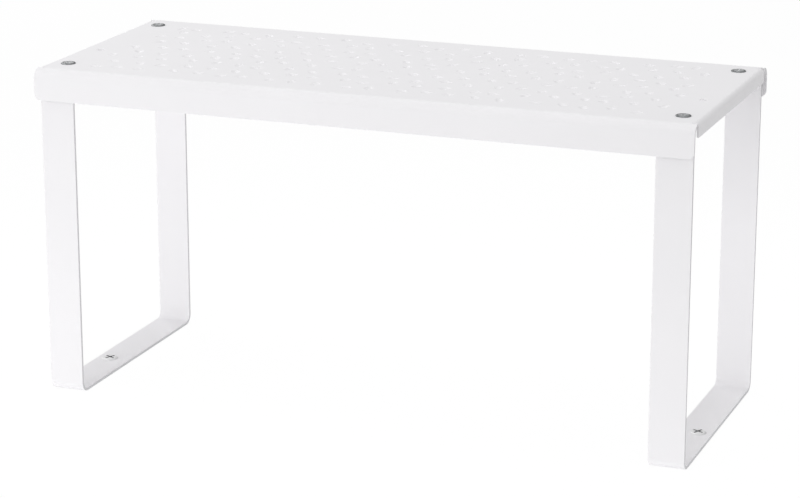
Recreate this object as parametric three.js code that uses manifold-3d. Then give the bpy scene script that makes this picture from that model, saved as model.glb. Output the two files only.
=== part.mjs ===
// Cabinet shelf: a folded sheet steel top on two legs of bent flat strip, held by four corner screws.
// Millimetres. +X runs along the shelf to the right, +Y to the back, +Z up.
// The origin is on the surface it stands on, below the middle of the shelf.

import * as THREE from 'three';
import { mergeVertices } from 'three/addons/utils/BufferGeometryUtils.js';
import Module from 'manifold-3d';

const wasm = await Module();
wasm.setup();

// Shelf top: overall sizes and folded edges
const SHELF_LENGTH = 320;
const SHELF_DEPTH = 130;
const SHELF_HEIGHT = 160;
const SHEET_THICKNESS = 1;
const LONG_FLANGE_HEIGHT = 15;
const LONG_BEND_RADIUS = 5;
const LONG_FLANGE_CORNER_RADIUS = 3;
const END_FLANGE_HEIGHT = 6.8;
const END_BEND_RADIUS = 1.2;
const END_FLANGE_CORNER_RADIUS = 1;

// Corner reliefs: the slit between each end bend and the long bends, and its depth past the end bend
const RELIEF_SLIT = 1.2;
const RELIEF_DEPTH = 1;

// Legs: flat strip bent into a loop, open between two tabs at the top
const STRIP_WIDTH = 17;
const STRIP_THICKNESS = 1.5;
const FOOT_BEND_RADIUS = 5;
const TAB_BEND_RADIUS = 3;
const TAB_REACH = 21;
const LEG_SETBACK = 4;
const LEG_END_CLEARANCE = 0.1;

// Corner screws and the nuts below the leg tabs
const SCREW_DIAMETER = 4;
const SCREW_LENGTH = 8;
const SCREW_HEAD_DIAMETER = 7;
const SCREW_HEAD_HEIGHT = 0.6;
const SCREW_HEAD_EDGE = 0.2;
const SCREW_RECESS_SPAN = 4.2;
const SCREW_RECESS_WIDTH = 1;
const SCREW_RECESS_DEPTH = 0.4;
const SCREW_EDGE_DISTANCE = 16.5;
const SCREW_HOLE_CLEARANCE = 0.4;
const NUT_ACROSS_FLATS = 7;
const NUT_HEIGHT = 3.2;
const THREAD_CLEARANCE = 0.1;

// Hole near each end of the sheet, in front of the middle
const END_HOLE_OFFSET = 15;
const END_HOLE_DIAMETER = 3.2;

// Plug in the hole of each bottom bar, in front of the middle and nearer to the shelf's end
const PLUG_OFFSET = 12;
const PLUG_OUTSET = 1.7;
const PLUG_HEAD_DIAMETER = 7.6;
const PLUG_HEAD_HEIGHT = 0.8;
const PLUG_STEM_DIAMETER = 5;
const PLUG_STEM_RECESS = 0.3;
const PLUG_HOLE_CLEARANCE = 0.2;
const PLUG_SLOT_SPAN = 5.6;
const PLUG_SLOT_WIDTH = 1.1;
const PLUG_SLOT_DEPTH = 0.6;
const PLUG_TURN = Math.PI / 7;

// Pressed oval dimples, scattered about a staggered grid
const DIMPLE_LENGTH = 7;
const DIMPLE_WIDTH = 4.4;
const DIMPLE_DEPTH = 0.45;
const DIMPLE_PITCH = 12.8;
const DIMPLE_ROW_PITCH = 11.7;
const DIMPLE_SCATTER = 2.4;
const DIMPLE_END_MARGIN = 16;
const DIMPLE_SIDE_MARGIN = 12;

// Fineness of the facets
const BEND_SEGMENTS = 4;
const ROUND_SEGMENTS = 20;
const DIMPLE_SIDES = 8;

// A cutter reaches this far past the face that it opens
const OVERCUT = 1;

// Places that follow from the sizes above
const halfLength = SHELF_LENGTH / 2;
const halfDepth = SHELF_DEPTH / 2;
const sheetUnderside = SHELF_HEIGHT - SHEET_THICKNESS;
const tabUnderside = sheetUnderside - STRIP_THICKNESS;
const endBendStart = halfLength - END_BEND_RADIUS;
const legOuterEdge = endBendStart - LEG_END_CLEARANCE;
const legCentre = legOuterEdge - STRIP_WIDTH / 2;
const legFace = halfDepth - LEG_SETBACK;
const screwLine = halfDepth - SCREW_EDGE_DISTANCE;
const sides = { left: -1, right: 1 };
const rows = { front: -1, rear: 1 };

// Axis changes for an outline that is drawn flat and extruded along its third axis
const ALONG_X = new THREE.Matrix4().makeBasis(
  new THREE.Vector3(0, 1, 0),
  new THREE.Vector3(0, 0, 1),
  new THREE.Vector3(1, 0, 0),
);
const ALONG_Y = new THREE.Matrix4().makeBasis(
  new THREE.Vector3(1, 0, 0),
  new THREE.Vector3(0, 0, 1),
  new THREE.Vector3(0, -1, 0),
);

// An outline extruded to the given length, from zero along its third axis
function extruded(outline, depth) {
  return new THREE.ExtrudeGeometry(outline, { depth, bevelEnabled: false, curveSegments: BEND_SEGMENTS });
}

// An outline in Y and Z, extruded between two places along X
function extrudedAlongX(outline, from, to) {
  return extruded(outline, to - from).applyMatrix4(ALONG_X).translate(from, 0, 0);
}

// An outline in X and Z, extruded over a width that is centred on Y zero
function extrudedAlongY(outline, width) {
  return extruded(outline, width).applyMatrix4(ALONG_Y).translate(0, width / 2, 0);
}

// A box between two corners
function boxBetween(low, high) {
  const size = high.map((value, axis) => value - low[axis]);
  const centre = high.map((value, axis) => (value + low[axis]) / 2);
  return new THREE.BoxGeometry(...size).translate(...centre);
}

// An upright round bar between two heights
function roundBar(diameter, x, y, low, high) {
  return new THREE.CylinderGeometry(diameter / 2, diameter / 2, high - low, ROUND_SEGMENTS)
    .rotateX(Math.PI / 2)
    .translate(x, y, (low + high) / 2);
}

// A solid of revolution about Z, from a profile of radius and height that starts and ends on the axis
function turned(profile) {
  const points = profile.map(([radius, height]) => new THREE.Vector2(radius, height));
  return new THREE.LatheGeometry(points, ROUND_SEGMENTS).rotateX(Math.PI / 2);
}

// A closed geometry as a solid that can be joined and cut
function solid(geometry) {
  const bare = geometry.clone();
  bare.deleteAttribute('normal');
  bare.deleteAttribute('uv');
  const welded = mergeVertices(bare);
  return new wasm.Manifold(new wasm.Mesh({
    numProp: 3,
    vertProperties: new Float32Array(welded.attributes.position.array),
    triVerts: new Uint32Array(welded.index.array),
  }));
}

// A solid back as a geometry
function geometryOf(body) {
  const mesh = body.getMesh();
  const geometry = new THREE.BufferGeometry();
  geometry.setAttribute('position', new THREE.BufferAttribute(mesh.vertProperties, 3));
  geometry.setIndex(new THREE.BufferAttribute(mesh.triVerts, 1));
  geometry.computeVertexNormals();
  return geometry;
}

// A body with each cutter taken out of it
function cut(body, cutters) {
  return cutters.reduce((left, cutter) => left.subtract(solid(cutter)), body);
}

// Section of the sheet across its depth: a flat top with a long flange folded down front and rear
function channelOutline() {
  const outer = LONG_BEND_RADIUS;
  const inner = LONG_BEND_RADIUS - SHEET_THICKNESS;
  const bendCentre = halfDepth - LONG_BEND_RADIUS;
  const bendHeight = SHELF_HEIGHT - LONG_BEND_RADIUS;
  const bottom = SHELF_HEIGHT - LONG_FLANGE_HEIGHT;
  const outline = new THREE.Shape();
  outline.moveTo(halfDepth, bottom);
  outline.absarc(bendCentre, bendHeight, outer, 0, Math.PI / 2, false);
  outline.absarc(-bendCentre, bendHeight, outer, Math.PI / 2, Math.PI, false);
  outline.lineTo(-halfDepth, bottom);
  outline.lineTo(-halfDepth + SHEET_THICKNESS, bottom);
  outline.absarc(-bendCentre, bendHeight, inner, Math.PI, Math.PI / 2, true);
  outline.absarc(bendCentre, bendHeight, inner, Math.PI / 2, 0, true);
  outline.lineTo(halfDepth - SHEET_THICKNESS, bottom);
  outline.closePath();
  return outline;
}

// Section of the end bend along the shelf, right-hand end, from the flat sheet down to the flange's edge
function endBendOutline(start) {
  const bendHeight = SHELF_HEIGHT - END_BEND_RADIUS;
  const bottom = SHELF_HEIGHT - END_FLANGE_HEIGHT;
  const outline = new THREE.Shape();
  outline.moveTo(start, sheetUnderside);
  outline.absarc(endBendStart, bendHeight, END_BEND_RADIUS - SHEET_THICKNESS, Math.PI / 2, 0, true);
  outline.lineTo(halfLength - SHEET_THICKNESS, bottom);
  outline.lineTo(halfLength, bottom);
  outline.absarc(endBendStart, bendHeight, END_BEND_RADIUS, 0, Math.PI / 2, false);
  outline.lineTo(start, SHELF_HEIGHT);
  outline.closePath();
  return outline;
}

// Face of the end bend and its flange, between the relief slits, with the flange's lower corners rounded
function endFaceOutline(half) {
  const bottom = SHELF_HEIGHT - END_FLANGE_HEIGHT;
  const top = SHELF_HEIGHT + OVERCUT;
  const round = END_FLANGE_CORNER_RADIUS;
  const outline = new THREE.Shape();
  outline.moveTo(half, top);
  outline.lineTo(-half, top);
  outline.absarc(-half + round, bottom + round, round, Math.PI, 1.5 * Math.PI, false);
  outline.absarc(half - round, bottom + round, round, 1.5 * Math.PI, 2 * Math.PI, false);
  outline.closePath();
  return outline;
}

// What rounds the lower corner of the long flanges, right-hand end
function flangeCornerOutline() {
  const round = LONG_FLANGE_CORNER_RADIUS;
  const bottom = SHELF_HEIGHT - LONG_FLANGE_HEIGHT;
  const outline = new THREE.Shape();
  outline.moveTo(halfLength - round, bottom);
  outline.absarc(halfLength - round, bottom + round, round, 1.5 * Math.PI, 2 * Math.PI, false);
  outline.lineTo(halfLength + OVERCUT, bottom + round);
  outline.lineTo(halfLength + OVERCUT, bottom - OVERCUT);
  outline.lineTo(halfLength - round, bottom - OVERCUT);
  outline.closePath();
  return outline;
}

// A repeatable scatter between -1 and 1 for a whole number
function scatter(number) {
  const wave = Math.sin(number * 12.9898) * 43758.5453;
  return 2 * (wave - Math.floor(wave)) - 1;
}

// Centres and turns of the dimples: a staggered grid inside the margins, moved and turned by the scatter
function dimplePlaces() {
  const reach = DIMPLE_SCATTER + DIMPLE_LENGTH / 2;
  const fieldLength = SHELF_LENGTH - 2 * (DIMPLE_END_MARGIN + reach);
  const fieldDepth = SHELF_DEPTH - 2 * (DIMPLE_SIDE_MARGIN + reach);
  const columns = Math.floor(fieldLength / DIMPLE_PITCH + 0.5);
  const lines = Math.floor(fieldDepth / DIMPLE_ROW_PITCH) + 1;
  const places = [];
  for (let line = 0; line < lines; line += 1) {
    for (let column = 0; column < columns; column += 1) {
      const stagger = (line % 2) / 2 + 0.25;
      const seed = 3 * (line * columns + column);
      const x = (column + stagger - columns / 2) * DIMPLE_PITCH + DIMPLE_SCATTER * scatter(seed + 1);
      const y = (line - (lines - 1) / 2) * DIMPLE_ROW_PITCH + DIMPLE_SCATTER * scatter(seed + 2);
      places.push({ x, y, turn: (Math.PI / 2) * scatter(seed + 3) });
    }
  }
  return places;
}

// A shallow oval cone, point down, that presses one dimple into the sheet
function dimpleCutter({ x, y, turn }) {
  const grow = (DIMPLE_DEPTH + OVERCUT) / DIMPLE_DEPTH;
  const height = DIMPLE_DEPTH + OVERCUT;
  return new THREE.ConeGeometry(grow / 2, height, DIMPLE_SIDES)
    .rotateX(-Math.PI / 2)
    .scale(DIMPLE_LENGTH, DIMPLE_WIDTH, 1)
    .rotateZ(turn)
    .translate(x, y, SHELF_HEIGHT - DIMPLE_DEPTH + height / 2);
}

// Shelf top: the channel, its end bends and flanges, the screw holes, end holes and dimples
function shelfTop() {
  const bendHalf = halfDepth - LONG_BEND_RADIUS - RELIEF_SLIT;
  const lapStart = endBendStart - RELIEF_DEPTH;
  const bendStart = lapStart - OVERCUT;
  const cornerCutter = extrudedAlongY(flangeCornerOutline(), SHELF_DEPTH + 2 * OVERCUT);
  const reliefCutter = boxBetween(
    [lapStart, -bendHalf - RELIEF_SLIT, sheetUnderside - OVERCUT],
    [halfLength + OVERCUT, bendHalf + RELIEF_SLIT, SHELF_HEIGHT + OVERCUT],
  );
  const rightEnd = solid(extrudedAlongY(endBendOutline(bendStart), SHELF_DEPTH))
    .intersect(solid(extrudedAlongX(endFaceOutline(bendHalf), bendStart - OVERCUT, halfLength + OVERCUT)));
  let body = solid(extrudedAlongX(channelOutline(), -halfLength, halfLength));
  for (const side of Object.values(sides)) {
    const turn = new THREE.Matrix4().makeScale(side, side, 1);
    body = cut(body, [cornerCutter.clone().applyMatrix4(turn), reliefCutter.clone().applyMatrix4(turn)]);
    body = body.add(solid(geometryOf(rightEnd).applyMatrix4(turn)));
  }
  const below = sheetUnderside - OVERCUT;
  const above = SHELF_HEIGHT + OVERCUT;
  const holes = [];
  for (const side of Object.values(sides)) {
    holes.push(roundBar(END_HOLE_DIAMETER, side * legCentre, -END_HOLE_OFFSET, below, above));
    for (const row of Object.values(rows)) {
      const diameter = SCREW_DIAMETER + SCREW_HOLE_CLEARANCE;
      holes.push(roundBar(diameter, side * legCentre, row * screwLine, below, above));
    }
  }
  return geometryOf(cut(body, [...holes, ...dimplePlaces().map(dimpleCutter)]));
}

// Section of a leg: tab, front upright, bottom bar, rear upright and tab, in one strip
function stripOutline() {
  const tabEnd = legFace - TAB_REACH;
  const upperCentre = legFace - TAB_BEND_RADIUS;
  const upperHeight = sheetUnderside - TAB_BEND_RADIUS;
  const lowerCentre = legFace - FOOT_BEND_RADIUS;
  const tabInner = TAB_BEND_RADIUS - STRIP_THICKNESS;
  const footInner = FOOT_BEND_RADIUS - STRIP_THICKNESS;
  const quarter = Math.PI / 2;
  const outline = new THREE.Shape();
  outline.moveTo(-tabEnd, sheetUnderside);
  outline.absarc(-upperCentre, upperHeight, TAB_BEND_RADIUS, quarter, 2 * quarter, false);
  outline.absarc(-lowerCentre, FOOT_BEND_RADIUS, FOOT_BEND_RADIUS, 2 * quarter, 3 * quarter, false);
  outline.absarc(lowerCentre, FOOT_BEND_RADIUS, FOOT_BEND_RADIUS, 3 * quarter, 4 * quarter, false);
  outline.absarc(upperCentre, upperHeight, TAB_BEND_RADIUS, 0, quarter, false);
  outline.lineTo(tabEnd, sheetUnderside);
  outline.lineTo(tabEnd, tabUnderside);
  outline.absarc(upperCentre, upperHeight, tabInner, quarter, 0, true);
  outline.absarc(lowerCentre, FOOT_BEND_RADIUS, footInner, 4 * quarter, 3 * quarter, true);
  outline.absarc(-lowerCentre, FOOT_BEND_RADIUS, footInner, 3 * quarter, 2 * quarter, true);
  outline.absarc(-upperCentre, upperHeight, tabInner, 2 * quarter, quarter, true);
  outline.lineTo(-tabEnd, tabUnderside);
  outline.closePath();
  return outline;
}

// The leg of one side, centred on X zero, with its screw holes and the plug's hole
function leg(side) {
  const strip = solid(extrudedAlongX(stripOutline(), -STRIP_WIDTH / 2, STRIP_WIDTH / 2));
  const screwHole = SCREW_DIAMETER + SCREW_HOLE_CLEARANCE;
  const plugHole = PLUG_STEM_DIAMETER + PLUG_HOLE_CLEARANCE;
  const holes = Object.values(rows).map(
    (row) => roundBar(screwHole, 0, row * screwLine, tabUnderside - OVERCUT, sheetUnderside + OVERCUT),
  );
  holes.push(roundBar(plugHole, side * PLUG_OUTSET, -PLUG_OFFSET, -OVERCUT, STRIP_THICKNESS + OVERCUT));
  return geometryOf(cut(strip, holes));
}

// The two arms of a cross recess, open upwards at the given height
function crossCutters(span, width, depth, height) {
  const low = height - depth;
  const high = height + OVERCUT;
  return [
    boxBetween([-span / 2, -width / 2, low], [span / 2, width / 2, high]),
    boxBetween([-width / 2, -span / 2, low], [width / 2, span / 2, high]),
  ];
}

// A round head that rises from a short upright edge to a flat crown, as radius and height, from the rim in
function domeProfile(diameter, edge, height) {
  const radius = diameter / 2;
  return [
    [radius, 0],
    [radius, edge],
    [radius * 0.92, edge + (height - edge) * 0.5],
    [radius * 0.74, edge + (height - edge) * 0.86],
    [radius * 0.5, height],
    [0, height],
  ];
}

// Corner screw: head on the sheet at height zero, shank down through tab and nut
function screw() {
  const shank = SCREW_DIAMETER / 2;
  const tip = SCREW_DIAMETER / 8;
  const body = solid(turned([
    [0, -SCREW_LENGTH],
    [shank - tip, -SCREW_LENGTH],
    [shank, tip - SCREW_LENGTH],
    [shank, 0],
    ...domeProfile(SCREW_HEAD_DIAMETER, SCREW_HEAD_EDGE, SCREW_HEAD_HEIGHT),
  ]));
  return geometryOf(cut(
    body,
    crossCutters(SCREW_RECESS_SPAN, SCREW_RECESS_WIDTH, SCREW_RECESS_DEPTH, SCREW_HEAD_HEIGHT),
  ));
}

// Hexagon nut, hanging from height zero
function nut() {
  const outline = new THREE.Shape();
  const corner = NUT_ACROSS_FLATS / 2 / Math.cos(Math.PI / 6);
  for (let side = 0; side < 6; side += 1) {
    const angle = (side * Math.PI) / 3;
    outline[side ? 'lineTo' : 'moveTo'](corner * Math.cos(angle), corner * Math.sin(angle));
  }
  outline.closePath();
  const bore = SCREW_DIAMETER + 2 * THREAD_CLEARANCE;
  const body = solid(extruded(outline, NUT_HEIGHT).translate(0, 0, -NUT_HEIGHT));
  return geometryOf(cut(body, [roundBar(bore, 0, 0, -NUT_HEIGHT - OVERCUT, OVERCUT)]));
}

// Plug: low domed head on the bar at height zero, stem in the bar's hole, clear of the surface below
function plug() {
  const stem = PLUG_STEM_DIAMETER / 2;
  const stemLength = STRIP_THICKNESS - PLUG_STEM_RECESS;
  const body = solid(turned([
    [0, -stemLength],
    [stem, -stemLength],
    [stem, 0],
    ...domeProfile(PLUG_HEAD_DIAMETER, PLUG_HEAD_HEIGHT / 4, PLUG_HEAD_HEIGHT),
  ]));
  return geometryOf(cut(
    body,
    crossCutters(PLUG_SLOT_SPAN, PLUG_SLOT_WIDTH, PLUG_SLOT_DEPTH, PLUG_HEAD_HEIGHT),
  ));
}

// Finishes
const whiteCoat = { color: 0xf1f1f2, roughness: 0.42, metalness: 0 };
const zinc = { color: 0xa8aaad, roughness: 0.32, metalness: 1 };
const plainSteel = { color: 0x8f9194, roughness: 0.45, metalness: 1 };
const whitePlastic = { color: 0xe9e9ec, roughness: 0.35, metalness: 0 };

const cabinetShelf = new THREE.Group();

// Add one named piece at its place
function place(name, geometry, finish, x, y, z, turn = 0) {
  const piece = new THREE.Mesh(geometry, new THREE.MeshStandardMaterial(finish));
  piece.name = name;
  piece.position.set(x, y, z);
  piece.rotation.z = turn;
  cabinetShelf.add(piece);
}

place('shelf_top', shelfTop(), whiteCoat, 0, 0, 0);
for (const [sideName, side] of Object.entries(sides)) {
  const x = side * legCentre;
  place(`${sideName}_leg`, leg(side), whiteCoat, x, 0, 0);
  const plugX = x + side * PLUG_OUTSET;
  const plugTurn = side * PLUG_TURN;
  place(`${sideName}_bar_plug`, plug(), whitePlastic, plugX, -PLUG_OFFSET, STRIP_THICKNESS, plugTurn);
  for (const [rowName, row] of Object.entries(rows)) {
    const y = row * screwLine;
    place(`${rowName}_${sideName}_screw`, screw(), zinc, x, y, SHELF_HEIGHT);
    place(`${rowName}_${sideName}_nut`, nut(), plainSteel, x, y, tabUnderside);
  }
}

export default cabinetShelf;
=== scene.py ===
"""Cabinet shelf: a folded, dimpled steel sheet on two legs of bent strip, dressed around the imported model.

Sizes are in millimetres and are turned to metres where a mesh is made. +X runs along the shelf to the
right, +Y to the back and +Z up, with the origin on the floor below the middle of the shelf.
"""

from __future__ import annotations

import logging
import math
from collections.abc import Callable, Sequence
from dataclasses import dataclass, field
from enum import Enum

import bmesh
import bpy
import numpy as np
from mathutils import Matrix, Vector
from mathutils.geometry import delaunay_2d_cdt

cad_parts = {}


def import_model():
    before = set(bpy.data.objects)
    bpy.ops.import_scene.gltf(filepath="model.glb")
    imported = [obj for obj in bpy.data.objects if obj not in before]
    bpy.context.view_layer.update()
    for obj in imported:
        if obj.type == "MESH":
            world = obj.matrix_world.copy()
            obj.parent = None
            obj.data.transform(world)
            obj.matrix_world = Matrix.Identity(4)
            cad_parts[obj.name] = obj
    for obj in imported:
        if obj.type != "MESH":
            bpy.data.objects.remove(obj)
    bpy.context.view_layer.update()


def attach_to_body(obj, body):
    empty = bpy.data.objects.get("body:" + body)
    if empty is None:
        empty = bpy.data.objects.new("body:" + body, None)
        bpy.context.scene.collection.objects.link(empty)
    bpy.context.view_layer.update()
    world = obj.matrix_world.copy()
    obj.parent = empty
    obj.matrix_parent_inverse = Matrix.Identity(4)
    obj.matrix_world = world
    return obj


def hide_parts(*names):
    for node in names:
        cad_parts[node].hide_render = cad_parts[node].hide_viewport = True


LOG = logging.getLogger("cabinet_shelf")

MM = 0.001
WELD = 1e-4
RIM_WELD = 0.01
HOLE_RING = 0.6
BODY = "root"
PHOTO_WIDTH = 800
NOISE_RANGE = (0.3, 0.7)
WHITE = (1.0, 1.0, 1.0, 1.0)
EASED_ANGLE = 50
EASED_SEGMENTS = 2
FLAT_WEIGHT = 80
SHARP_ANGLE = 38
CUT_NORMAL = 0.9
WAVE_STEP, WAVE_HEIGHT = 12.9898, 43758.5453

Flat = tuple[float, float]
Place = tuple[float, float, float]
Loop = list[Flat]
Seat = tuple[Place, float]
Placer = Callable[[float, float], Place]
Line = Sequence[Place]
Tree = bpy.types.NodeTree
Socket = bpy.types.NodeSocket
Patterns = tuple[Socket, Socket, Socket]


class Side(Enum):
    """Left or right half of the shelf, as the sign of X."""

    LEFT = -1
    RIGHT = 1


class Row(Enum):
    """Front or rear half of the shelf, as the sign of Y."""

    FRONT = -1
    REAR = 1


class Slot(Enum):
    """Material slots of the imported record."""

    COAT = "white_powder_coat"
    ZINC = "zinc_plate"
    NUT = "nut_steel"
    PLASTIC = "white_plastic"


def linear(code: str) -> tuple[float, float, float, float]:
    """Turns an sRGB hex colour to linear light.

    Args:
        code: Six hex digits, with or without a leading hash.

    Returns:
        Red, green and blue in linear light, and an alpha of one.
    """
    shares = [int(code.lstrip("#")[n : n + 2], 16) / 255 for n in (0, 2, 4)]
    red, green, blue = (s / 12.92 if s <= 0.04045 else ((s + 0.055) / 1.055) ** 2.4 for s in shares)
    return red, green, blue, 1.0


def add_node(tree: Tree, kind: str, inputs: dict | None = None, **settings: object) -> bpy.types.Node:
    """Adds one node with its settings, values and links.

    Args:
        tree: Node tree that takes the node.
        kind: Type name of the node.
        inputs: Values, sockets or nodes for the node's inputs, by name or number. A node gives its first output.
        settings: Properties of the node itself.

    Returns:
        The new node.
    """
    node = tree.nodes.new(kind)
    for name, value in settings.items():
        setattr(node, name, value)
    for key, value in (inputs or {}).items():
        if isinstance(value, bpy.types.Node):
            value = value.outputs[0]
        if isinstance(value, Socket):
            tree.links.new(value, node.inputs[key])
        else:
            node.inputs[key].default_value = value
    return node


def calculate(tree: Tree, operation: str, first: Socket | float, second: Socket | float) -> Socket:
    """Adds a math node.

    Args:
        tree: Node tree that takes the node.
        operation: What it does with the two values.
        first: First value.
        second: Second value.

    Returns:
        The result.
    """
    return add_node(tree, "ShaderNodeMath", {0: first, 1: second}, operation=operation).outputs[0]


def noise(tree: Tree, place: Socket, size: float, detail: float) -> Socket:
    """Adds a pattern of soft clouds.

    Args:
        tree: Node tree of the material.
        place: Place on the object, in metres.
        size: Size of the clouds, in millimetres.
        detail: Number of finer layers.

    Returns:
        The pattern.
    """
    inputs = {"Vector": place, "Scale": 1 / (size * MM), "Detail": detail}
    return add_node(tree, "ShaderNodeTexNoise", inputs).outputs["Fac"]


def mix_colours(tree: Tree, share: Socket, first: object, second: object) -> Socket:
    """Adds a mix of two colours.

    Args:
        tree: Node tree of the material.
        share: Share of the second colour.
        first: First colour.
        second: Second colour.

    Returns:
        The mixed colour.
    """
    return add_node(tree, "ShaderNodeMix", {0: share, 6: first, 7: second}, data_type="RGBA").outputs[2]


def new_material(name: str) -> tuple[bpy.types.Material, Tree]:
    """Starts a material with an empty node tree.

    Args:
        name: Name of the material.

    Returns:
        The material and its tree.
    """
    material = bpy.data.materials.new(name)
    material.use_nodes = True
    material.node_tree.nodes.clear()
    return material, material.node_tree


@dataclass(frozen=True)
class Finish:
    """Finish in two close tones, with an uneven gloss, a fine relief and a darker tone on marked faces.

    On a cut edge the darker tone is a thin coat; in a recess and on the side of a head it is painted shade.
    """

    name: str
    light: str
    deep: str
    grime: str
    roughness: tuple[float, float]
    relief: float
    relief_strength: float = 1.0
    metallic: float = 0.0
    ior: float = 1.5

    def patterns(self, tree: Tree, place: Socket) -> Patterns:
        """Draws the patterns of the finish.

        Args:
            tree: Node tree of the material.
            place: Place on the object, in metres.

        Returns:
            The patterns of its tone, its gloss and its relief.
        """
        raise NotImplementedError

    def build(self) -> bpy.types.Material:
        """Makes the material.

        Returns:
            The material.
        """
        material, tree = new_material(self.name)
        tone, gloss, relief = self.patterns(tree, add_node(tree, "ShaderNodeTexCoord").outputs["Object"])
        clean = mix_colours(tree, tone, linear(self.light), linear(self.deep))
        # Marked faces take the darker colour: a thin coat on cut edges, painted shade in recesses and on the sides
        # of heads.
        grime = add_node(tree, "ShaderNodeAttribute", attribute_name="grime").outputs["Fac"]
        (least, most), (low, high) = NOISE_RANGE, self.roughness
        spread = {"Value": gloss, "From Min": least, "From Max": most, "To Min": low, "To Max": high}
        bump = add_node(
            tree,
            "ShaderNodeBump",
            {"Strength": self.relief_strength, "Distance": self.relief * MM, "Height": relief},
        )
        shader = add_node(
            tree,
            "ShaderNodeBsdfPrincipled",
            {
                "Base Color": mix_colours(tree, grime, clean, linear(self.grime)),
                "Metallic": self.metallic,
                "Roughness": add_node(tree, "ShaderNodeMapRange", spread),
                "Normal": bump,
                "IOR": self.ior,
            },
        )
        add_node(tree, "ShaderNodeOutputMaterial", {"Surface": shader})
        return material


@dataclass(frozen=True)
class PowderCoat(Finish):
    """Polyester powder coat on steel, sprayed and baked: dull white with a faint orange peel.

    The eye sees soft, wide highlights on the bends, a ground that is nearly even, and very shallow
    waves about two millimetres long where the powder flowed out in the oven. Cut edges are greyer,
    since the powder draws back from them.
    """

    name: str = "powder_coated_steel_white"
    light: str = "#f3f2f4"
    deep: str = "#efeef0"
    grime: str = "#d4d4d6"
    roughness: tuple[float, float] = (0.66, 0.76)
    relief: float = 0.006
    cloud: float = 45.0
    peel: float = 2.2
    grain: float = 0.5

    def patterns(self, tree: Tree, place: Socket) -> Patterns:
        """Draws wide clouds for the tone, a fine grain for the gloss and orange peel for the relief."""
        cloud = noise(tree, place, self.cloud, detail=2.0)
        grain = noise(tree, place, self.grain, detail=1.0)
        return cloud, grain, noise(tree, place, self.peel, detail=1.0)


@dataclass(frozen=True)
class PlatedSteel(Finish):
    """Zinc plated steel: a soft grey metal with fine crystals and faint dull spots left by the bath."""

    name: str = "zinc_plated_steel"
    light: str = "#eaebec"
    deep: str = "#d2d4d6"
    # Darker colour, drawn as painted shade on the sides of the screw heads.
    grime: str = "#949698"
    roughness: tuple[float, float] = (0.26, 0.42)
    relief: float = 0.01
    relief_strength: float = 0.3
    metallic: float = 1.0
    crystal: float = 0.35
    blotch: float = 2.5

    def patterns(self, tree: Tree, place: Socket) -> Patterns:
        """Draws spots for the tone and the gloss, and crystals for the relief."""
        spots = noise(tree, place, self.blotch, detail=3.0)
        crystals = add_node(tree, "ShaderNodeTexVoronoi", {"Vector": place, "Scale": 1 / (self.crystal * MM)})
        return spots, spots, crystals.outputs["Distance"]


@dataclass(frozen=True)
class MouldedNylon(Finish):
    """Injection moulded white nylon: slightly waxy, with a fine spark-eroded mould grain."""

    name: str = "moulded_nylon_white"
    light: str = "#efefef"
    deep: str = "#e6e6e7"
    # Darker colour, drawn as painted shade in the plugs' cross slots.
    grime: str = "#6c6d6f"
    roughness: tuple[float, float] = (0.36, 0.46)
    relief: float = 0.01
    relief_strength: float = 0.5
    ior: float = 1.53
    cloud: float = 3.0
    grain: float = 0.25

    def patterns(self, tree: Tree, place: Socket) -> Patterns:
        """Draws clouds for the tone, and the mould's grain for the gloss and the relief."""
        grain = noise(tree, place, self.grain, detail=1.0)
        return noise(tree, place, self.cloud, detail=2.0), grain, grain


def oval(centre: Flat, half: Flat, turn: float, count: int) -> Loop:
    """Points round an oval, anticlockwise from the end of its first axis.

    Args:
        centre: Middle of the oval.
        half: Half lengths along its two axes.
        turn: Angle of the first axis, in radians.
        count: Number of points.

    Returns:
        The points.
    """
    cosine, sine = math.cos(turn), math.sin(turn)
    points = []
    for number in range(count):
        angle = 2 * math.pi * number / count
        along, across = half[0] * math.cos(angle), half[1] * math.sin(angle)
        points.append((centre[0] + cosine * along - sine * across, centre[1] + sine * along + cosine * across))
    return points


def arc(centre: Flat, radius: float, start: float, stop: float, steps: int) -> Loop:
    """Points along an arc, with both ends.

    Args:
        centre: Middle of the arc.
        radius: Its radius.
        start: First angle, in degrees.
        stop: Last angle, in degrees.
        steps: Number of chords.

    Returns:
        The points.
    """
    angles = [math.radians(start + (stop - start) * n / steps) for n in range(steps + 1)]
    return [(centre[0] + radius * math.cos(a), centre[1] + radius * math.sin(a)) for a in angles]


def inside(loop: Sequence[Flat], x: float, y: float) -> bool:
    """Tells whether a point lies inside a closed loop.

    Args:
        loop: Corners of the loop.
        x: First coordinate of the point.
        y: Second coordinate of the point.

    Returns:
        True if the point is inside.
    """
    found = False
    for (x0, y0), (x1, y1) in zip(loop, [*loop[1:], loop[0]]):
        if (y0 > y) != (y1 > y) and x < x0 + (y - y0) * (x1 - x0) / (y1 - y0):
            found = not found
    return found


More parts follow.
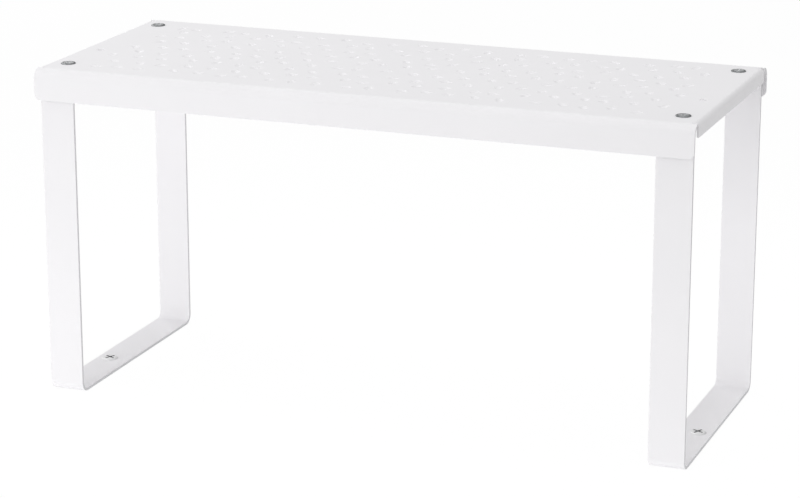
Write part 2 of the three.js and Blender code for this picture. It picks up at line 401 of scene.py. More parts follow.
class Surface:
    """Gathers the faces of one surface, in millimetres, and welds them to a mesh."""

    def __init__(self) -> None:
        """Starts with no faces."""
        self.points: list[Place] = []
        self.faces: list[list[int]] = []
        self.grime: list[float] = []
        self.seats: list[Seat] = []

    def face(self, places: Line, flip: bool = False, grime: float = 0.0) -> None:
        """Adds one face.

        Args:
            places: Corners, anticlockwise as seen from outside.
            flip: True if they run clockwise.
            grime: Share of the darker tone on it, a thin coat on cut edges and painted shade in recesses and on the
                sides of heads.
        """
        self.grime.append(grime)
        start = len(self.points)
        self.points += list(places)
        ring = list(range(start, start + len(places)))
        self.faces.append(ring[::-1] if flip else ring)

    def band(self, first: Line, second: Line, closed: bool = False, flip: bool = False, grime: float = 0.0) -> None:
        """Adds a row of quads between two lines of equal length.

        Args:
            first: Points of the first line.
            second: Points of the second line, to the left of the first as seen from outside.
            closed: True if the lines are rings.
            flip: True if the second line is to the right.
            grime: Share of the darker tone on them, a thin coat on cut edges and painted shade in recesses and on
                the sides of heads.
        """
        count = len(first)
        for n in range(count if closed else count - 1):
            m = (n + 1) % count
            self.face([first[n], first[m], second[m], second[n]], flip, grime)

    def panel(
        self, outline: Loop, holes: Sequence[Loop], place: Placer, flip: bool = False, grime: float = 0.0
    ) -> None:
        """Fills a flat outline around its holes with triangles.

        Args:
            outline: Corners of the outline in the panel's own plane.
            holes: Loops that stay open.
            place: Turns a point of the plane into a place on the object.
            flip: True if the plane's anticlockwise side faces inwards.
            grime: Share of the darker tone on it, a thin coat on cut edges and painted shade in recesses and on the
                sides of heads.
        """
        loops = [outline, *holes]
        owner = [n for n, loop in enumerate(loops) for _ in loop]
        edges = []
        for loop in loops:
            start = len(edges)
            edges += [(start + n, start + (n + 1) % len(loop)) for n in range(len(loop))]
        flat = [Vector(point) for loop in loops for point in loop]
        points, _, faces, sources, _, _ = delaunay_2d_cdt(flat, edges, [], 0, WELD)
        for corners in faces:
            owners = {owner[sources[c][0]] for c in corners}
            if len(owners) == 1:
                loop = owners.pop()
                x, y = sum((points[c] for c in corners), Vector((0.0, 0.0))) / len(corners)
                if inside(loops[loop], x, y) != (loop == 0):
                    continue
            self.face([place(*points[c]) for c in corners], flip, grime)

    def eye(self, centre: Flat, radius: float, count: int, place: Placer, flip: bool = False) -> Loop:
        """Draws the flat ring next to a round hole, which keeps the panel around it evenly shaded.

        Args:
            centre: Middle of the hole in the panel's own plane.
            radius: Radius of the hole.
            count: Points round it.
            place: Turns a point of the plane into a place on the object.
            flip: True if the plane's anticlockwise side faces inwards.

        Returns:
            The outer edge of the ring, which the panel leaves open.
        """
        rings = [oval(centre, (r, r), 0, count) for r in (radius + HOLE_RING, radius)]
        outer, inner = ([place(*point) for point in ring] for ring in rings)
        self.band(outer, inner, closed=True, flip=flip)
        return rings[0]

    def lathe(self, profile: Sequence[Flat], count: int, grime: float = 0.0) -> None:
        """Turns a profile about the Z axis.

        Args:
            profile: Radius and height of each ring, upwards as seen from outside.
            count: Points in each ring.
            grime: Share of the darker tone on it, a thin coat on cut edges and painted shade in recesses and on the
                sides of heads.
        """
        rings = [[(*p, height) for p in oval((0, 0), (radius, radius), 0, count)] for radius, height in profile]
        for lower, upper in zip(rings, rings[1:]):
            self.band(lower, upper, closed=True, grime=grime)

    def seat(self, place: Place, turn: float) -> None:
        """Adds a place, with a turn in radians, where the piece's node tree puts a copy."""
        self.seats.append((place, turn))

    def mesh(self, name: str) -> bpy.types.Mesh:
        """Welds the faces and adds the seats as loose points.

        Args:
            name: Name of the mesh.

        Returns:
            The mesh, in metres.
        """
        made = bpy.data.meshes.new(name)
        scaled = [tuple(value * MM for value in point) for point in self.points]
        made.from_pydata(scaled, [], self.faces, shade_flat=False)
        # Each face keeps its share of the darker tone as a face attribute: thin coat on cut edges, painted shade in
        # recesses and on the sides of heads.
        made.attributes.new("grime", "FLOAT", "FACE").data.foreach_set("value", self.grime)
        work = bmesh.new()
        work.from_mesh(made)
        bmesh.ops.remove_doubles(work, verts=work.verts, dist=WELD * MM)
        bmesh.ops.dissolve_degenerate(work, edges=work.edges, dist=WELD * MM)
        seat = work.verts.layers.bool.new("seat")
        turn = work.verts.layers.float.new("turn")
        for place, angle in self.seats:
            vertex = work.verts.new([value * MM for value in place])
            vertex[seat] = True
            vertex[turn] = angle
        work.to_mesh(made)
        work.free()
        return made


def new_tree(name: str, inputs: dict[str, str]) -> tuple[Tree, dict[str, str]]:
    """Starts a geometry node tree with named inputs.

    Args:
        name: Name of the tree.
        inputs: Socket type of each input, by name.

    Returns:
        The tree, and the identifier of each input by name.
    """
    tree = bpy.data.node_groups.new(name, "GeometryNodeTree")
    tree.interface.new_socket(name="Geometry", in_out="INPUT", socket_type="NodeSocketGeometry")
    names = {
        label: tree.interface.new_socket(name=label, in_out="INPUT", socket_type=kind).identifier
        for label, kind in inputs.items()
    }
    tree.interface.new_socket(name="Geometry", in_out="OUTPUT", socket_type="NodeSocketGeometry")
    return tree, names


def split_seats(tree: Tree, given: bpy.types.Node) -> tuple[bpy.types.Node, Socket]:
    """Splits the seats from the faces of a mesh, and reads the turn of each seat.

    Args:
        tree: Geometry node tree.
        given: Its group input.

    Returns:
        The node that splits them, seats first, and the rotation of each seat.
    """
    seat = add_node(tree, "GeometryNodeInputNamedAttribute", {"Name": "seat"}, data_type="BOOLEAN")
    turn = add_node(tree, "GeometryNodeInputNamedAttribute", {"Name": "turn"}, data_type="FLOAT")
    split = add_node(
        tree,
        "GeometryNodeSeparateGeometry",
        {"Geometry": given.outputs["Geometry"], "Selection": seat.outputs["Attribute"]},
        domain="POINT",
    )
    angles = add_node(tree, "ShaderNodeCombineXYZ", {"Z": turn.outputs["Attribute"]})
    rotation = add_node(tree, "FunctionNodeEulerToRotation", {"Euler": angles})
    return split, rotation.outputs["Rotation"]


def put_copies(tree: Tree, points: Socket, pattern: Socket, rotation: Socket, scale: Socket) -> bpy.types.Node:
    """Puts a copy of a pattern on each point and makes the copies real.

    Args:
        tree: Geometry node tree.
        points: Where the copies go.
        pattern: What is copied.
        rotation: Rotation of each copy.
        scale: Scale of the copies.

    Returns:
        The node that makes them real.
    """
    inputs = {"Points": points, "Instance": pattern, "Rotation": rotation, "Scale": scale}
    copies = add_node(tree, "GeometryNodeInstanceOnPoints", inputs)
    return add_node(tree, "GeometryNodeRealizeInstances", {"Geometry": copies})


def end_tree(tree: Tree, geometry: bpy.types.Node, material: Socket) -> None:
    """Gives the geometry its finish and ends the tree with it.

    Args:
        tree: Geometry node tree.
        geometry: Node that makes it.
        material: Its finish.
    """
    coated = add_node(tree, "GeometryNodeSetMaterial", {"Geometry": geometry, "Material": material})
    add_node(tree, "NodeGroupOutput", {"Geometry": coated})


class Piece:
    """Turns a mesh with live modifiers into one finished piece of the shelf."""

    def __init__(self, name: str, mesh: bpy.types.Mesh) -> None:
        """Links a working object for the mesh."""
        self.name = name
        self.work = bpy.data.objects.new(f"{name}_work", mesh)
        bpy.context.scene.collection.objects.link(self.work)

    def press(self, tree: Tree, names: dict[str, str], values: dict[str, object]) -> None:
        """Adds a geometry node tree.

        Args:
            tree: The tree.
            names: Identifier of each of its inputs.
            values: Value of each input, by name.
        """
        modifier = self.work.modifiers.new(tree.name, "NODES")
        modifier.node_group = tree
        for label, value in values.items():
            modifier[names[label]] = value

    def thicken(self, thickness: float, edge: float) -> None:
        """Gives an open surface its gauge, inwards, and eases its cut edges.

        Args:
            thickness: Gauge, in millimetres.
            edge: Width of the eased edges, in millimetres.
        """
        solid = self.work.modifiers.new("gauge", "SOLIDIFY")
        solid.thickness = thickness * MM
        solid.offset = -1.0
        solid.use_even_offset = True
        bevel = self.work.modifiers.new("eased edges", "BEVEL")
        bevel.width = edge * MM
        bevel.segments = EASED_SEGMENTS
        bevel.limit_method = "ANGLE"
        bevel.angle_limit = math.radians(EASED_ANGLE)
        weighted = self.work.modifiers.new("flat faces stay flat", "WEIGHTED_NORMAL")
        weighted.weight = FLAT_WEIGHT

    def finish(self, material: bpy.types.Material, sharp: float | None = None) -> bpy.types.Object:
        """Applies the modifiers and leaves a plain object at the origin.

        Args:
            material: Finish of the whole piece.
            sharp: Edges that fold more than this angle, in degrees, are shaded sharp.

        Returns:
            The finished object.
        """
        graph = bpy.context.evaluated_depsgraph_get()
        mesh = bpy.data.meshes.new_from_object(self.work.evaluated_get(graph), depsgraph=graph)
        source = self.work.data
        bpy.data.objects.remove(self.work)
        bpy.data.meshes.remove(source)
        for label in ("seat", "turn"):
            if label in mesh.attributes:
                mesh.attributes.remove(mesh.attributes[label])
        mesh.name = self.name
        mesh.materials.clear()
        mesh.materials.append(material)
        mesh.polygons.foreach_set("material_index", np.zeros(len(mesh.polygons), np.int32))
        mesh.polygons.foreach_set("use_smooth", np.ones(len(mesh.polygons), bool))
        if sharp is not None:
            mesh.set_sharp_from_angle(angle=math.radians(sharp))
        made = bpy.data.objects.new(self.name, mesh)
        bpy.context.scene.collection.objects.link(made)
        return made


def scatter(number: int) -> float:
    """Gives a repeatable value between -1 and 1 for a whole number, as in the part's solids."""
    wave = math.sin(number * WAVE_STEP) * WAVE_HEIGHT
    return 2 * (wave - math.floor(wave)) - 1


@dataclass
class DimpledSheet:
    """The shelf top: one sheet with long flanges, short end flanges, holes and pressed oval dimples."""

    length: float = 320.0
    depth: float = 130.0
    height: float = 160.0
    gauge: float = 1.0
    long_flange: float = 15.0
    long_radius: float = 5.0
    long_corner: float = 3.0
    long_corner_steps: int = 8
    end_flange: float = 6.8
    end_radius: float = 2.2
    end_corner: float = 1.0
    end_corner_steps: int = 5
    slit: float = 1.2
    slit_depth: float = 1.0
    edge: float = 0.2
    bend_steps: int = 12
    hole_points: int = 32
    screw_hole: float = 4.4
    end_hole: float = 3.2
    screw_x: float = 150.2
    screw_y: float = 48.5
    end_hole_y: float = -15.0
    dimple: Flat = (6.8, 4.8)
    dimple_depth: float = 0.76
    dimple_points: int = 20
    dimple_rings: int = 7
    pitch: Flat = (12.8, 11.7)
    spread: float = 2.4
    reach: float = 5.9
    margin: Flat = (16.0, 12.0)

    def dimples(self) -> list[tuple[Flat, float]]:
        """Places the dimples as in the part's solids.

        Returns:
            The centre of each dimple, and its turn in radians.
        """
        field_length = self.length - 2 * (self.margin[0] + self.reach)
        field_depth = self.depth - 2 * (self.margin[1] + self.reach)
        columns = math.floor(field_length / self.pitch[0] + 0.5)
        lines = math.floor(field_depth / self.pitch[1]) + 1
        places = []
        for line in range(lines):
            for column in range(columns):
                seed = 3 * (line * columns + column)
                # Every second line is half a pitch further along, so a quarter keeps the field centred.
                step = column + (line % 2) / 2 + 0.25 - columns / 2
                x = step * self.pitch[0] + self.spread * scatter(seed + 1)
                y = (line - (lines - 1) / 2) * self.pitch[1] + self.spread * scatter(seed + 2)
                places.append(((x, y), math.pi / 2 * scatter(seed + 3)))
        return places

    def surface(self) -> Surface:
        """Draws the outer face of the folded sheet, open where the dimples go.

        Returns:
            The surface, with a seat for each dimple.
        """
        made = Surface()
        half_x, half_y, top = self.length / 2, self.depth / 2, self.height

        def level(x: float, y: float) -> Place:
            """Puts a point of the plan on top of the sheet."""
            return x, y, top

        flat_y = half_y - self.long_radius
        bend_y = flat_y - self.slit
        bend_x = half_x - self.end_radius
        lap = bend_x - self.slit_depth
        quarter = [(lap, -flat_y), (lap, -bend_y), (bend_x, -bend_y)]
        outline = quarter + [(x, -y) for x, y in reversed(quarter)]
        outline += [(-x, -y) for x, y in quarter] + [(-x, y) for x, y in reversed(quarter)]
        holes = [oval(c, (self.dimple[0] / 2, self.dimple[1] / 2), t, self.dimple_points) for c, t in self.dimples()]
        for side in Side:
            x = side.value * self.screw_x
            holes.append(made.eye((x, self.end_hole_y), self.end_hole / 2, self.hole_points, level))
            for row in Row:
                holes.append(made.eye((x, row.value * self.screw_y), self.screw_hole / 2, self.hole_points, level))
        made.panel(outline, holes, level)
        columns = (-half_x, -lap, lap, half_x)
        face = self.flange(columns, self.long_flange, self.long_radius, self.long_corner, self.long_corner_steps)
        section = arc((flat_y, top - self.long_radius), self.long_radius, 90, 0, self.bend_steps)
        for row in Row:
            sign = row.value
            lines = [[(x, sign * y, z) for x in columns] for y, z in section]
            for upper, lower in zip(lines, lines[1:]):
                made.band(lower, upper, flip=sign > 0)
            made.face([(x, sign * half_y, z) for x, z in face], flip=sign > 0)
        columns = (-bend_y, bend_y)
        face = self.flange(columns, self.end_flange, self.end_radius, self.end_corner, self.end_corner_steps)
        section = arc((bend_x, top - self.end_radius), self.end_radius, 90, 0, self.bend_steps // 2)
        for side in Side:
            sign = side.value
            lines = [[(sign * x, y, z) for y in columns] for x, z in section]
            for inner, outer in zip(lines, lines[1:]):
                made.band(inner, outer, flip=sign > 0)
            made.face([(sign * half_x, y, z) for y, z in face], flip=sign < 0)
        for centre, turn in self.dimples():
            made.seat((*centre, top), turn)
        return made

    def flange(self, columns: Sequence[float], drop: float, bend: float, corner: float, steps: int) -> Loop:
        """Draws the face of a flange in its own plane, anticlockwise from its upper right corner.

        Args:
            columns: Places along the flange where the bend above it has points.
            drop: Height of the flange, with the bend.
            bend: Radius of the bend.
            corner: Radius of the two lower corners.
            steps: Chords of each corner.

        Returns:
            The corners, along the flange and upwards.
        """
        low, high = self.height - drop, self.height - bend
        left = arc((columns[0] + corner, low + corner), corner, 180, 270, steps)
        right = arc((columns[-1] - corner, low + corner), corner, 270, 360, steps)
        return [(along, high) for along in reversed(columns)] + left + right

    def press_tree(self) -> tuple[Tree, dict[str, str]]:
        """Makes the node tree that sets a soft bowl into each oval opening and welds it to the rim.

        Returns:
            The tree, and the identifier of each input by name.
        """
        number = "NodeSocketFloat"
        tree, names = new_tree(
            "Pressed dimples",
            {"Length": number, "Width": number, "Depth": number, "Material": "NodeSocketMaterial"},
        )
        given = add_node(tree, "NodeGroupInput")
        split, rotation = split_seats(tree, given)
        steps = {"Vertices": self.dimple_points, "Side Segments": self.dimple_rings}
        unit = {"Radius Top": 0.0, "Radius Bottom": 1.0, "Depth": 1.0}
        cone = add_node(tree, "GeometryNodeMeshCone", {**steps, **unit}, fill_type="NONE")
        place = add_node(tree, "ShaderNodeSeparateXYZ", {0: add_node(tree, "GeometryNodeInputPosition")})
        x, y = place.outputs["X"], place.outputs["Y"]
        flat = add_node(tree, "ShaderNodeCombineXYZ", {"X": x, "Y": y})
        square = add_node(tree, "ShaderNodeVectorMath", {0: flat, 1: flat}, operation="DOT_PRODUCT")
        rise = calculate(tree, "SUBTRACT", square.outputs["Value"], 1.0)
        fall = calculate(tree, "SUBTRACT", 1.0, square.outputs["Value"])
        bell = calculate(tree, "MULTIPLY", rise, fall)
        sink = calculate(tree, "MULTIPLY", bell, given.outputs["Depth"])
        sunk = add_node(tree, "ShaderNodeCombineXYZ", {"X": x, "Y": y, "Z": sink})
        bowl = add_node(tree, "GeometryNodeSetPosition", {"Geometry": cone, "Position": sunk})
        half_length = calculate(tree, "MULTIPLY", given.outputs["Length"], 0.5)
        half_width = calculate(tree, "MULTIPLY", given.outputs["Width"], 0.5)
        size = add_node(tree, "ShaderNodeCombineXYZ", {"X": half_length, "Y": half_width, "Z": 1.0})
        bowls = put_copies(tree, split.outputs["Selection"], bowl.outputs["Geometry"], rotation, size.outputs[0])
        joined = add_node(tree, "GeometryNodeJoinGeometry")
        for part in (split.outputs["Inverted"], bowls.outputs["Geometry"]):
            tree.links.new(part, joined.inputs["Geometry"])
        welded = add_node(tree, "GeometryNodeMergeByDistance", {"Geometry": joined, "Distance": RIM_WELD * MM})
        smooth = add_node(tree, "GeometryNodeSetShadeSmooth", {"Geometry": welded})
        end_tree(tree, smooth, given.outputs["Material"])
        return tree, names

    def build(self, coat: bpy.types.Material) -> bpy.types.Object:
        """Makes the finished sheet.

        Args:
            coat: Its finish.

        Returns:
            The object, riding on the shelf's body.
        """
        piece = Piece("dimpled_sheet", self.surface().mesh("dimpled_sheet_face"))
        tree, names = self.press_tree()
        length, width = (value * MM for value in self.dimple)
        values = {"Length": length, "Width": width, "Depth": self.dimple_depth * MM, "Material": coat}
        piece.press(tree, names, values)
        piece.thicken(self.gauge, self.edge)
        made = piece.finish(coat)
        bpy.data.node_groups.remove(tree)
        grey_cuts(made, (self.depth / 2 - self.long_radius) * MM)
        return attach(made, ["shelf_top"])


def grey_cuts(piece: bpy.types.Object, beyond: float = 0.0) -> None:
    """Marks the faces that look along the shelf, which are sheared edges, as thinly coated.

    Args:
        piece: The finished sheet or strip.
        beyond: Only faces further than this from the middle, front or rear, in metres, are sheared edges.
    """
    cuts = [float(abs(f.normal.x) > CUT_NORMAL and abs(f.center.y) > beyond) for f in piece.data.polygons]
    piece.data.attributes["grime"].data.foreach_set("value", cuts)


def attach(piece: bpy.types.Object, nodes: Sequence[str]) -> bpy.types.Object:
    """Fixes a finished piece to the shelf in place of the solids that it stands for.

    Args:
        piece: The finished object.
        nodes: Solids that it replaces.

    Returns:
        The same object.
    """
    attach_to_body(piece, BODY)
    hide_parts(*nodes)
    LOG.info("%s: %d faces for %s", piece.name, len(piece.data.polygons), ", ".join(nodes))
    return piece


@dataclass
class StripLeg:
    """One leg: a flat strip bent into a loop, with tabs under the sheet and a bar on the floor."""

    side: Side
    centre: float = 150.2
    width: float = 17.0
    gauge: float = 1.5
    face: float = 61.0
    top: float = 159.0
    tab_radius: float = 3.0
    foot_radius: float = 5.0
    tab_reach: float = 21.0
    edge: float = 0.2
    bend_steps: int = 12
    hole_points: int = 32
    screw_hole: float = 4.4
    screw_y: float = 48.5
    plug_hole: float = 5.2
    plug_y: float = -12.0
    plug_outset: float = 1.7

    @property
    def plug_x(self) -> float:
        """Place of the plug's hole along the shelf."""
        return self.side.value * (self.centre + self.plug_outset)

    def surface(self) -> Surface:
        """Draws the outer face of the strip: tabs up, uprights out and bar down.

        Returns:
            The surface.
        """
        made = Surface()
        middle = self.side.value * self.centre
        left, right = middle - self.width / 2, middle + self.width / 2
        foot, tab = self.foot_radius, self.tab_radius
        tab_y, foot_y, tab_z = self.face - tab, self.face - foot, self.top - tab
        tab_end = self.face - self.tab_reach
        rear = arc((tab_y, tab_z), tab, 90, 0, self.bend_steps) + arc((foot_y, foot), foot, 0, -90, self.bend_steps)
        front = [(-y, z) for y, z in reversed(rear)]
        for path in (rear, front):
            lines = [[(left, y, z) for y, z in path], [(right, y, z) for y, z in path]]
            made.band(lines[0], lines[1], flip=True)

        def raised(x: float, y: float) -> Place:
            """Puts a point of the plan on top of a tab."""
            return x, y, self.top

        def ground(x: float, y: float) -> Place:
            """Puts a point of the plan on the underside of the bar."""
            return x, y, 0.0

        for row in Row:
            near, far = sorted((row.value * tab_end, row.value * tab_y))
            hole = made.eye((middle, row.value * self.screw_y), self.screw_hole / 2, self.hole_points, raised)
            made.panel([(left, near), (right, near), (right, far), (left, far)], [hole], raised)
        hole = made.eye((self.plug_x, self.plug_y), self.plug_hole / 2, self.hole_points, ground, flip=True)
        made.panel([(left, -foot_y), (right, -foot_y), (right, foot_y), (left, foot_y)], [hole], ground, flip=True)
        return made

    def build(self, coat: bpy.types.Material) -> bpy.types.Object:
        """Makes the finished leg.

        Args:
            coat: Its finish.

        Returns:
            The object, riding on the shelf's body.
        """
        name = self.side.name.lower()
        piece = Piece(f"{name}_strip_leg", self.surface().mesh(f"{name}_strip_face"))
        piece.thicken(self.gauge, self.edge)
        made = piece.finish(coat)
        grey_cuts(made)
        return attach(made, [f"{name}_leg"])


def cross(span: float, width: float) -> Loop:
    """Outline of a cross recess, anticlockwise.

    Args:
        span: Tip to tip length of an arm.
        width: Width of an arm.

    Returns:
        The corners.
    """
    arm, half = span / 2, width / 2
    quarter = [(arm, -half), (arm, half), (half, half)]
    loop: Loop = []
    for _ in range(4):
        loop += quarter
        quarter = [(-y, x) for x, y in quarter]
    return loop


@dataclass
class Hardware:
    """A small turned piece that is repeated over the shelf by a node tree."""

    name: str
    slot: Slot
    nodes: list[str]
    seats: list[Seat]
    points: int = 48

    def shape(self, made: Surface) -> None:
        """Draws one copy about the Z axis.

        Args:
            made: Surface that takes the faces.
        """
        raise NotImplementedError

    def tree(self) -> tuple[Tree, dict[str, str]]:
        """Makes the node tree that puts a copy at each seat.

        Returns:
            The tree, and the identifier of each input by name.
        """
        tree, names = new_tree(f"Seated {self.name}", {"Size": "NodeSocketFloat", "Material": "NodeSocketMaterial"})
        given = add_node(tree, "NodeGroupInput")
        split, rotation = split_seats(tree, given)
        seats, pattern = split.outputs["Selection"], split.outputs["Inverted"]
        copies = put_copies(tree, seats, pattern, rotation, given.outputs["Size"])
        end_tree(tree, copies, given.outputs["Material"])
        return tree, names

    def build(self, finish: bpy.types.Material) -> bpy.types.Object:
        """Makes all copies as one finished piece.

        Args:
            finish: Their finish.

        Returns:
            The object, riding on the shelf's body.
        """
        made = Surface()
        self.shape(made)
        for place, turn in self.seats:
            made.seat(place, turn)
        piece = Piece(self.name, made.mesh(f"{self.name}_pattern"))
        tree, names = self.tree()
        piece.press(tree, names, {"Size": 1.0, "Material": finish})
        done = piece.finish(finish, sharp=SHARP_ANGLE)
        bpy.data.node_groups.remove(tree)
        return attach(done, self.nodes)


@dataclass
class HeadedHardware(Hardware):
    """A piece with a low domed head, and a cross recess in the flat crown of the head.

    The sizes are those of the corner screws. Other pieces give their own.
    """

    head: float = 7.0
    head_height: float = 0.6
    head_edge: float = 0.2
    head_ease: float = 0.1
    crown_share: float = 0.72
    dome_steps: int = 8
    # Share of painted shade on the turned side of the head, below its crown.
    rim_grime: float = 0.0
    recess: tuple[float, float, float] = (4.6, 1.5, 0.6)
    recess_floor: Flat = (0.62, 0.7)
    # Share of painted shade on the walls and floor of the recess.
    recess_grime: float = 1.0

    def draw_head(self, made: Surface, stem: Loop) -> None:
        """Draws the head on its stem.

        Args:
            made: Surface that takes the faces.
            stem: Radius and height of each ring of the stem, up to the underside of the head.
        """
        edge, crown = self.head / 2, self.head / 2 * self.crown_share
        rise = self.head_height - self.head_edge
        dome = arc((0, 0), 1.0, 0, 90, self.dome_steps)
        profile = [*stem, (edge - self.head_ease, 0.0), (edge, self.head_ease)]
        profile += [(crown + (edge - crown) * c, self.head_edge + rise * s) for c, s in dome]
        # The turned side of the head takes painted shade in the share set for the rim.
        made.lathe(profile, self.points, self.rim_grime)
        self.draw_crown(made, crown)

    def draw_crown(self, made: Surface, radius: float) -> None:
        """Draws the crown, with a recess that narrows as it goes down.

        Args:
            made: Surface that takes the faces.
            radius: Radius of the crown.
        """
        span, width, depth = self.recess
        high, low = self.head_height, self.head_height - depth
        mouth = cross(span, width)
        floor = cross(span * self.recess_floor[0], width * self.recess_floor[1])
        made.panel(oval((0, 0), (radius, radius), 0, self.points), [mouth], lambda x, y: (x, y, high))
        upper = [(x, y, high) for x, y in mouth]
        lower = [(x, y, low) for x, y in floor]
        # The walls and floor of the recess take painted shade in the share set for the recess.
        made.band(upper, lower, closed=True, grime=self.recess_grime)
        made.panel(floor, [], lambda x, y: (x, y, low), grime=self.recess_grime)


@dataclass
class CornerScrews(HeadedHardware):
    """Four low round-head screws with a cross recess, their shanks down through tab and nut."""

    # Painted shade: the side of each screw head is drawn dark, for the shade round its rim.
    rim_grime: float = 1.0
    recess_grime: float = 0.0
    turns: tuple[float, ...] = (12, 47, 71, 28)
    shank: float = 4.0
    length: float = 8.0
    thread: float = 0.7
    thread_depth: float = 0.32
    thread_rows: int = 8
    thread_start: float = 0.1
    tip: float = 0.5
    tip_share: float = 0.8

    def shape(self, made: Surface) -> None:
        """Draws the head, its recess and the threaded shank."""
        self.draw_head(made, [(self.shank / 2, 0.0)])
        rows = int(self.length / self.thread * self.thread_rows)
        rings = []
        for number in range(rows + 1):
            z = -self.length * (1 - number / rows)
            taper = self.tip * max(0.0, 1 - (z + self.length) / self.tip) * self.tip_share
            ring = []
            for x, y in oval((0, 0), (1, 1), 0, self.points):
                phase = (z / self.thread - math.atan2(y, x) / (2 * math.pi)) % 1
                groove = self.thread_depth * (1 - abs(2 * phase - 1))
                cut = groove * max(0.0, min(1.0, -z / self.thread - self.thread_start))
                reach = self.shank / 2 - cut - taper
                ring.append((x * reach, y * reach, z))
            rings.append(ring)
        for lower, upper in zip(rings, rings[1:]):
            made.band(lower, upper, closed=True)
        made.face([*reversed(rings[0])])


@dataclass
class TabNuts(Hardware):
    """Four hexagon nuts below the leg tabs, with their corners chamfered top and bottom."""

    points: int = 72
    turns: tuple[float, ...] = (0, 0, 0, 0)
    sides: int = 6
    flats: float = 7.0
    height: float = 3.2
    bore: float = 4.2
    chamfer: float = 0.96
    chamfer_angle: float = 30.0

    def shape(self, made: Surface) -> None:
        """Draws the nut, hanging from height zero."""
        face, bore, low = self.flats / 2, self.bore / 2, -self.height
        circle = face * self.chamfer
        sector = 360 / self.sides
        turns = [(360 * n / self.points) % sector - sector / 2 for n in range(self.points)]
        reach = [face / math.cos(math.radians(turn)) for turn in turns]
        drop = [(r - circle) * math.tan(math.radians(self.chamfer_angle)) for r in reach]
        rim = oval((0, 0), (1, 1), 0, self.points)
        rings = [
            [(x * bore, y * bore, low) for x, y in rim],
            [(x * circle, y * circle, low) for x, y in rim],
            [(x * r, y * r, low + d) for (x, y), r, d in zip(rim, reach, drop)],
            [(x * r, y * r, -d) for (x, y), r, d in zip(rim, reach, drop)],
            [(x * circle, y * circle, 0.0) for x, y in rim],
            [(x * bore, y * bore, 0.0) for x, y in rim],
        ]
        for lower, upper in zip(rings, [*rings[1:], rings[0]]):
            made.band(lower, upper, closed=True)


@dataclass
class BarPlugs(HeadedHardware):
    """Two push-in plugs with a low domed head and a cross slot, in the holes of the bottom bars."""

    head: float = 7.6
    head_height: float = 0.8
    head_edge: float = 0.08
    head_ease: float = 0.05
    crown_share: float = 0.76
    # The cross slot is drawn dark, as painted shade, by the share this piece keeps from the headed hardware.
    recess: tuple[float, float, float] = (5.6, 0.9, 0.6)
    turn: float = -180 / 7
    stem: float = 5.0
    stem_length: float = 1.2
    stem_ease: float = 0.2

    def shape(self, made: Surface) -> None:
        """Draws the head, its slot and the stem."""
        stem, low = self.stem / 2, -self.stem_length
        end = stem - self.stem_ease
        made.face([(*p, low) for p in reversed(oval((0, 0), (end, end), 0, self.points))])
        self.draw_head(made, [(end, low), (stem, low + self.stem_ease), (stem, 0.0)])


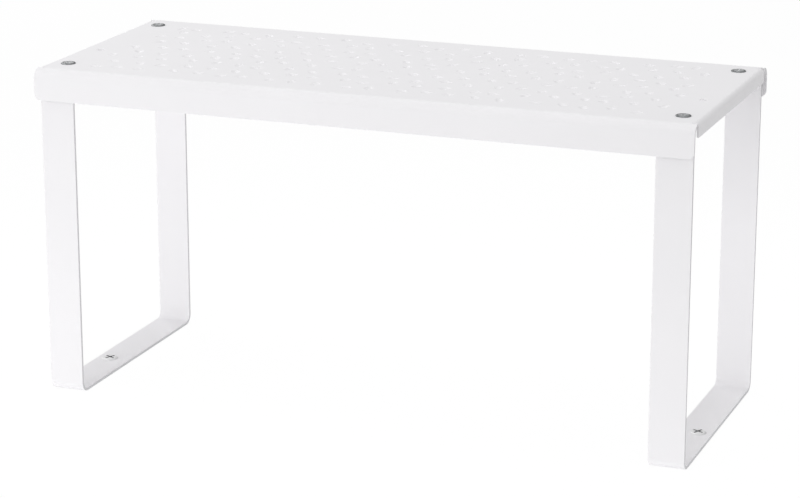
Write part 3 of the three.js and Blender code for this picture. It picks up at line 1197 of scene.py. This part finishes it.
@dataclass
class Studio:
    """White floor, soft studio light and the camera."""

    eye: Place = (448.91, -1168.323, 433.214)
    heading: float = 21.046
    pitch: float = 16.139
    focal_pixels: float = 2717.43
    sensor: float = 36.0
    clip: Flat = (0.05, 50.0)
    floor_size: float = 9.0
    floor_drop: float = 0.0001
    floor_colour: str = "#f4f4f4"
    floor_glow: float = 0.95
    table_light: float = 0.3
    table_reach: float = 0.7
    sky: float = 0.252
    sky_slope: Place = (0.097, -0.05, 0.575)
    aim: Place = (0.0, 0.0, 0.09)
    lamps: list[tuple[Place, float, float]] = field(
        default_factory=lambda: [
            ((-1.2, -1.7, 0.5), 1.0, 13.55),
            ((0.0, 0.0, 2.0), 1.0, 7.55),
            ((-1.4, 1.1, 1.1), 0.7, 5.4),
        ]
    )

    def camera(self) -> None:
        """Sets up the camera at the photograph's viewing angle."""
        data = bpy.data.cameras.new("studio_camera")
        data.sensor_width = self.sensor
        data.lens = self.focal_pixels * self.sensor / PHOTO_WIDTH
        data.clip_start, data.clip_end = self.clip
        camera = bpy.data.objects.new("studio_camera", data)
        camera.location = [value * MM for value in self.eye]
        camera.rotation_euler = (math.radians(90 - self.pitch), 0.0, math.radians(self.heading))
        bpy.context.scene.collection.objects.link(camera)
        bpy.context.scene.camera = camera

    def floor(self) -> None:
        """Lays a pale table, lit softly around the shelf, that looks white but for a trace of shadow."""
        half = self.floor_size / 2
        mesh = bpy.data.meshes.new("floor")
        corners = [(-half, -half), (half, -half), (half, half), (-half, half)]
        mesh.from_pydata([(x, y, -self.floor_drop) for x, y in corners], [], [(0, 1, 2, 3)])
        floor = bpy.data.objects.new("floor", mesh)
        bpy.context.scene.collection.objects.link(floor)
        material, tree = new_material("floor_white_board")
        matt = add_node(tree, "ShaderNodeBsdfDiffuse", {"Color": linear(self.floor_colour)})
        place = add_node(tree, "ShaderNodeTexCoord").outputs["Object"]
        distance = add_node(tree, "ShaderNodeVectorMath", {0: place}, operation="LENGTH")
        span = {"From Min": 0.0, "From Max": self.table_reach, "To Min": self.table_light, "To Max": 0.0}
        inputs = {"Value": distance.outputs["Value"], **span}
        fading = add_node(tree, "ShaderNodeMapRange", inputs, interpolation_type="SMOOTHSTEP")
        below = add_node(tree, "ShaderNodeEmission", {"Strength": fading})
        board = add_node(tree, "ShaderNodeAddShader", {0: matt, 1: below})
        glow = add_node(tree, "ShaderNodeEmission", {"Strength": 1.0})
        path = add_node(tree, "ShaderNodeLightPath").outputs
        seen = calculate(tree, "MAXIMUM", path["Is Camera Ray"], path["Is Glossy Ray"])
        shown = calculate(tree, "MAXIMUM", seen, path["Is Transmission Ray"])
        share = calculate(tree, "MULTIPLY", shown, self.floor_glow)
        mixed = add_node(tree, "ShaderNodeMixShader", {0: share, 1: board, 2: glow})
        add_node(tree, "ShaderNodeOutputMaterial", {"Surface": mixed})
        mesh.materials.append(material)

    def world(self) -> None:
        """Fills the room with soft white light, strongest from above, behind a plain white backdrop."""
        world = bpy.data.worlds.new("studio")
        world.use_nodes = True
        tree = world.node_tree
        tree.nodes.clear()
        place = add_node(tree, "ShaderNodeTexCoord").outputs["Generated"]
        slope = add_node(tree, "ShaderNodeVectorMath", {0: place, 1: self.sky_slope}, operation="DOT_PRODUCT")
        level = calculate(tree, "ADD", slope.outputs["Value"], self.sky)
        light = add_node(tree, "ShaderNodeBackground", {"Color": WHITE, "Strength": level})
        backdrop = add_node(tree, "ShaderNodeBackground", {"Color": WHITE, "Strength": 1.0})
        path = add_node(tree, "ShaderNodeLightPath").outputs
        mixed = add_node(tree, "ShaderNodeMixShader", {0: path["Is Camera Ray"], 1: light, 2: backdrop})
        add_node(tree, "ShaderNodeOutputWorld", {"Surface": mixed})
        bpy.context.scene.world = world

    def light(self) -> None:
        """Hangs the soft boxes."""
        for number, (place, size, power) in enumerate(self.lamps):
            data = bpy.data.lights.new(f"soft_box_{number}", "AREA")
            data.size = size
            data.energy = power
            lamp = bpy.data.objects.new(data.name, data)
            lamp.location = place
            lamp.visible_camera = False
            aim = Vector(self.aim) - Vector(place)
            lamp.rotation_euler = aim.to_track_quat("-Z", "Y").to_euler()
            bpy.context.scene.collection.objects.link(lamp)

    def build(self) -> None:
        """Sets up camera, floor, world and lamps."""
        self.camera()
        self.floor()
        self.world()
        self.light()
        bpy.context.scene.view_settings.view_transform = "Standard"


def corner_seats(sheet: DimpledSheet, height: float, turns: Sequence[float]) -> tuple[list[str], list[Seat]]:
    """Names and places of what is fixed at the four corners.

    Args:
        sheet: The shelf top.
        height: Height of the seats.
        turns: Turn of each piece, in degrees.

    Returns:
        The corners' names, and the seats.
    """
    names, seats = [], []
    for row in Row:
        for side in Side:
            names.append(f"{row.name.lower()}_{side.name.lower()}")
            place = (side.value * sheet.screw_x, row.value * sheet.screw_y, height)
            seats.append((place, math.radians(turns[len(seats)])))
    return names, seats


def main() -> None:
    """Builds the shelf piece by piece and sets up the studio."""
    logging.basicConfig(level=logging.INFO, format="%(name)s: %(message)s")
    bpy.ops.wm.read_factory_settings(use_empty=True)
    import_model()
    Studio().build()
    coat = PowderCoat().build()
    sheet = DimpledSheet()
    sheet.build(coat)
    legs = [StripLeg(side) for side in Side]
    for leg in legs:
        leg.build(coat)
    names, seats = corner_seats(sheet, sheet.height, CornerScrews.turns)
    screws = CornerScrews("corner_screws", Slot.ZINC, [f"{name}_screw" for name in names], seats)
    screws.build(PlatedSteel().build())
    tab_underside = legs[0].top - legs[0].gauge
    names, seats = corner_seats(sheet, tab_underside, TabNuts.turns)
    nuts = TabNuts("tab_nuts", Slot.NUT, [f"{name}_nut" for name in names], seats)
    nuts.build(PlatedSteel(name="nut_zinc_plated_steel", light="#a4a7aa", deep="#888b8f").build())
    turn = math.radians(BarPlugs.turn)
    seats = [((leg.plug_x, leg.plug_y, leg.gauge), turn) for leg in legs]
    plugs = BarPlugs("bar_plugs", Slot.PLASTIC, ["left_bar_plug", "right_bar_plug"], seats)
    plugs.build(MouldedNylon().build())


if __name__ == "__main__":
    main()
